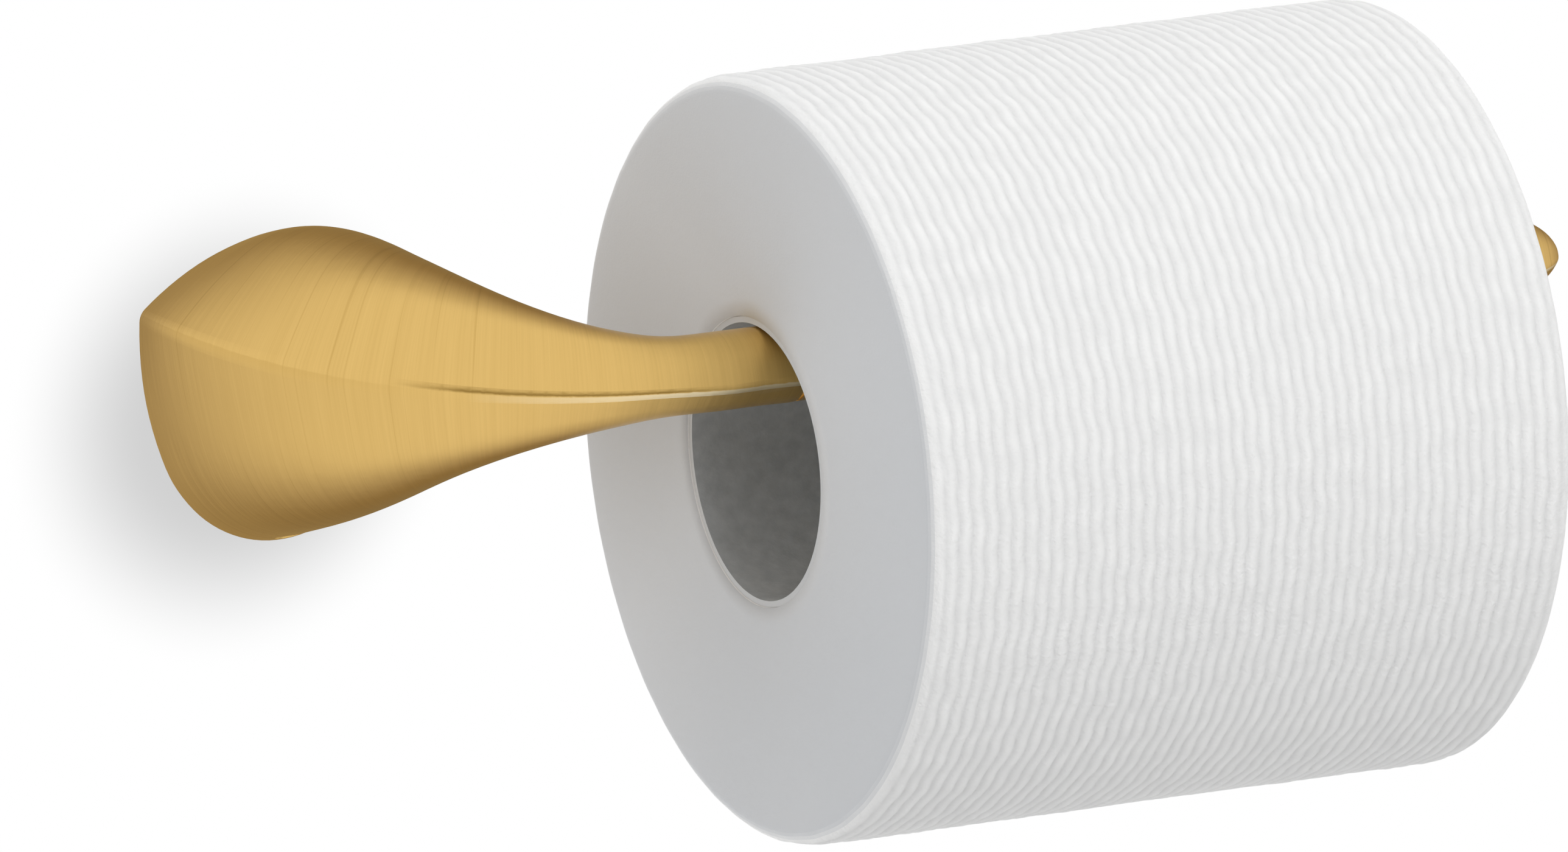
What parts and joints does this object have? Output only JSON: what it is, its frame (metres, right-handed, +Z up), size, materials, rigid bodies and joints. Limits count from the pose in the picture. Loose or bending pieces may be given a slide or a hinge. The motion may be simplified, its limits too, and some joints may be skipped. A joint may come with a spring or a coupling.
{
  "type": "toilet paper holder",
  "caption": "Wall-mounted single-post toilet paper holder: a flared post bends into a bar with an upturned tip that carries one roll.",
  "frame": {"origin": "middle of the post's foot, on the wall's face", "axes": "+X along the bar towards its tip, +Y into the wall, +Z up"},
  "size_m": [0.2035, 0.1513, 0.1144],
  "materials": {
    "brushed_gold": "brushed across the bar, satin",
    "plain_steel": "zinc-plated, satin",
    "cast_plate": "die-cast zinc alloy, matt",
    "core_card": "spiral-wound grey board",
    "tissue": "soft embossed tissue"
  },
  "bodies": {
    "holder": {"post_shell": "brushed_gold", "roll_bar": "brushed_gold", "bar_stud": "plain_steel", "bar_key_pin": "plain_steel", "wall_plate": "cast_plate", "mounting_screws": "plain_steel", "set_screw": "plain_steel"},
    "core": {"core_tube": "core_card"},
    "paper": {"paper_roll": "tissue"}
  },
  "joints": [
    {"name": "roll_draw_off", "type": "slide", "parent": "holder", "child": "core", "axis": [0.9781, 0, 0.2079], "range_m": [0, 0.146]},
    {"name": "roll_spin", "type": "hinge", "parent": "core", "child": "paper", "pos_m": [0.0985, -0.0659, -0.0019], "axis": [1, 0, 0], "continuous": true}
  ]
}
